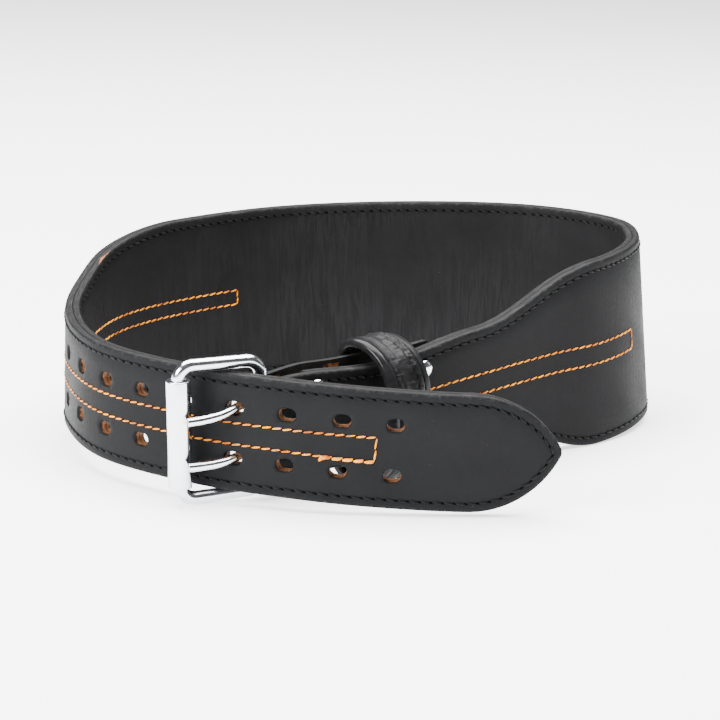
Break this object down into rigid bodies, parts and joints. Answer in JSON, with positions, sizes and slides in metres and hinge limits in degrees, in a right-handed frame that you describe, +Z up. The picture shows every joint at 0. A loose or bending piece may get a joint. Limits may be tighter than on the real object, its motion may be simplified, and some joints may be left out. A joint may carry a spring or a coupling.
{
  "type": "weightlifting belt",
  "caption": "Wide-backed leather weightlifting belt fastened into a loop by a double-prong roller buckle, with a keeper loop and riveted fold.",
  "frame": {"origin": "middle of the belt's box, on the surface that the belt stands on", "axes": "+Z up, the buckle and tongue face -Y, +X across the loop towards the tongue's point"},
  "size_m": [0.325, 0.3014, 0.11],
  "materials": {
    "leather_outer": "satin",
    "leather_inner": "satin",
    "leather_keeper": "gloss",
    "chrome_plate": "polished"
  },
  "bodies": {
    "root": {"outer_ply": "leather_outer", "inner_ply": "leather_inner", "buckle_frame": "chrome_plate", "roller": "chrome_plate", "prong_upper": "chrome_plate", "prong_lower": "chrome_plate", "keeper_loop": "leather_keeper", "rivet_buckle_upper": "chrome_plate", "rivet_buckle_lower": "chrome_plate", "rivet_keeper_upper": "chrome_plate", "rivet_keeper_lower": "chrome_plate"}
  },
  "joints": []
}
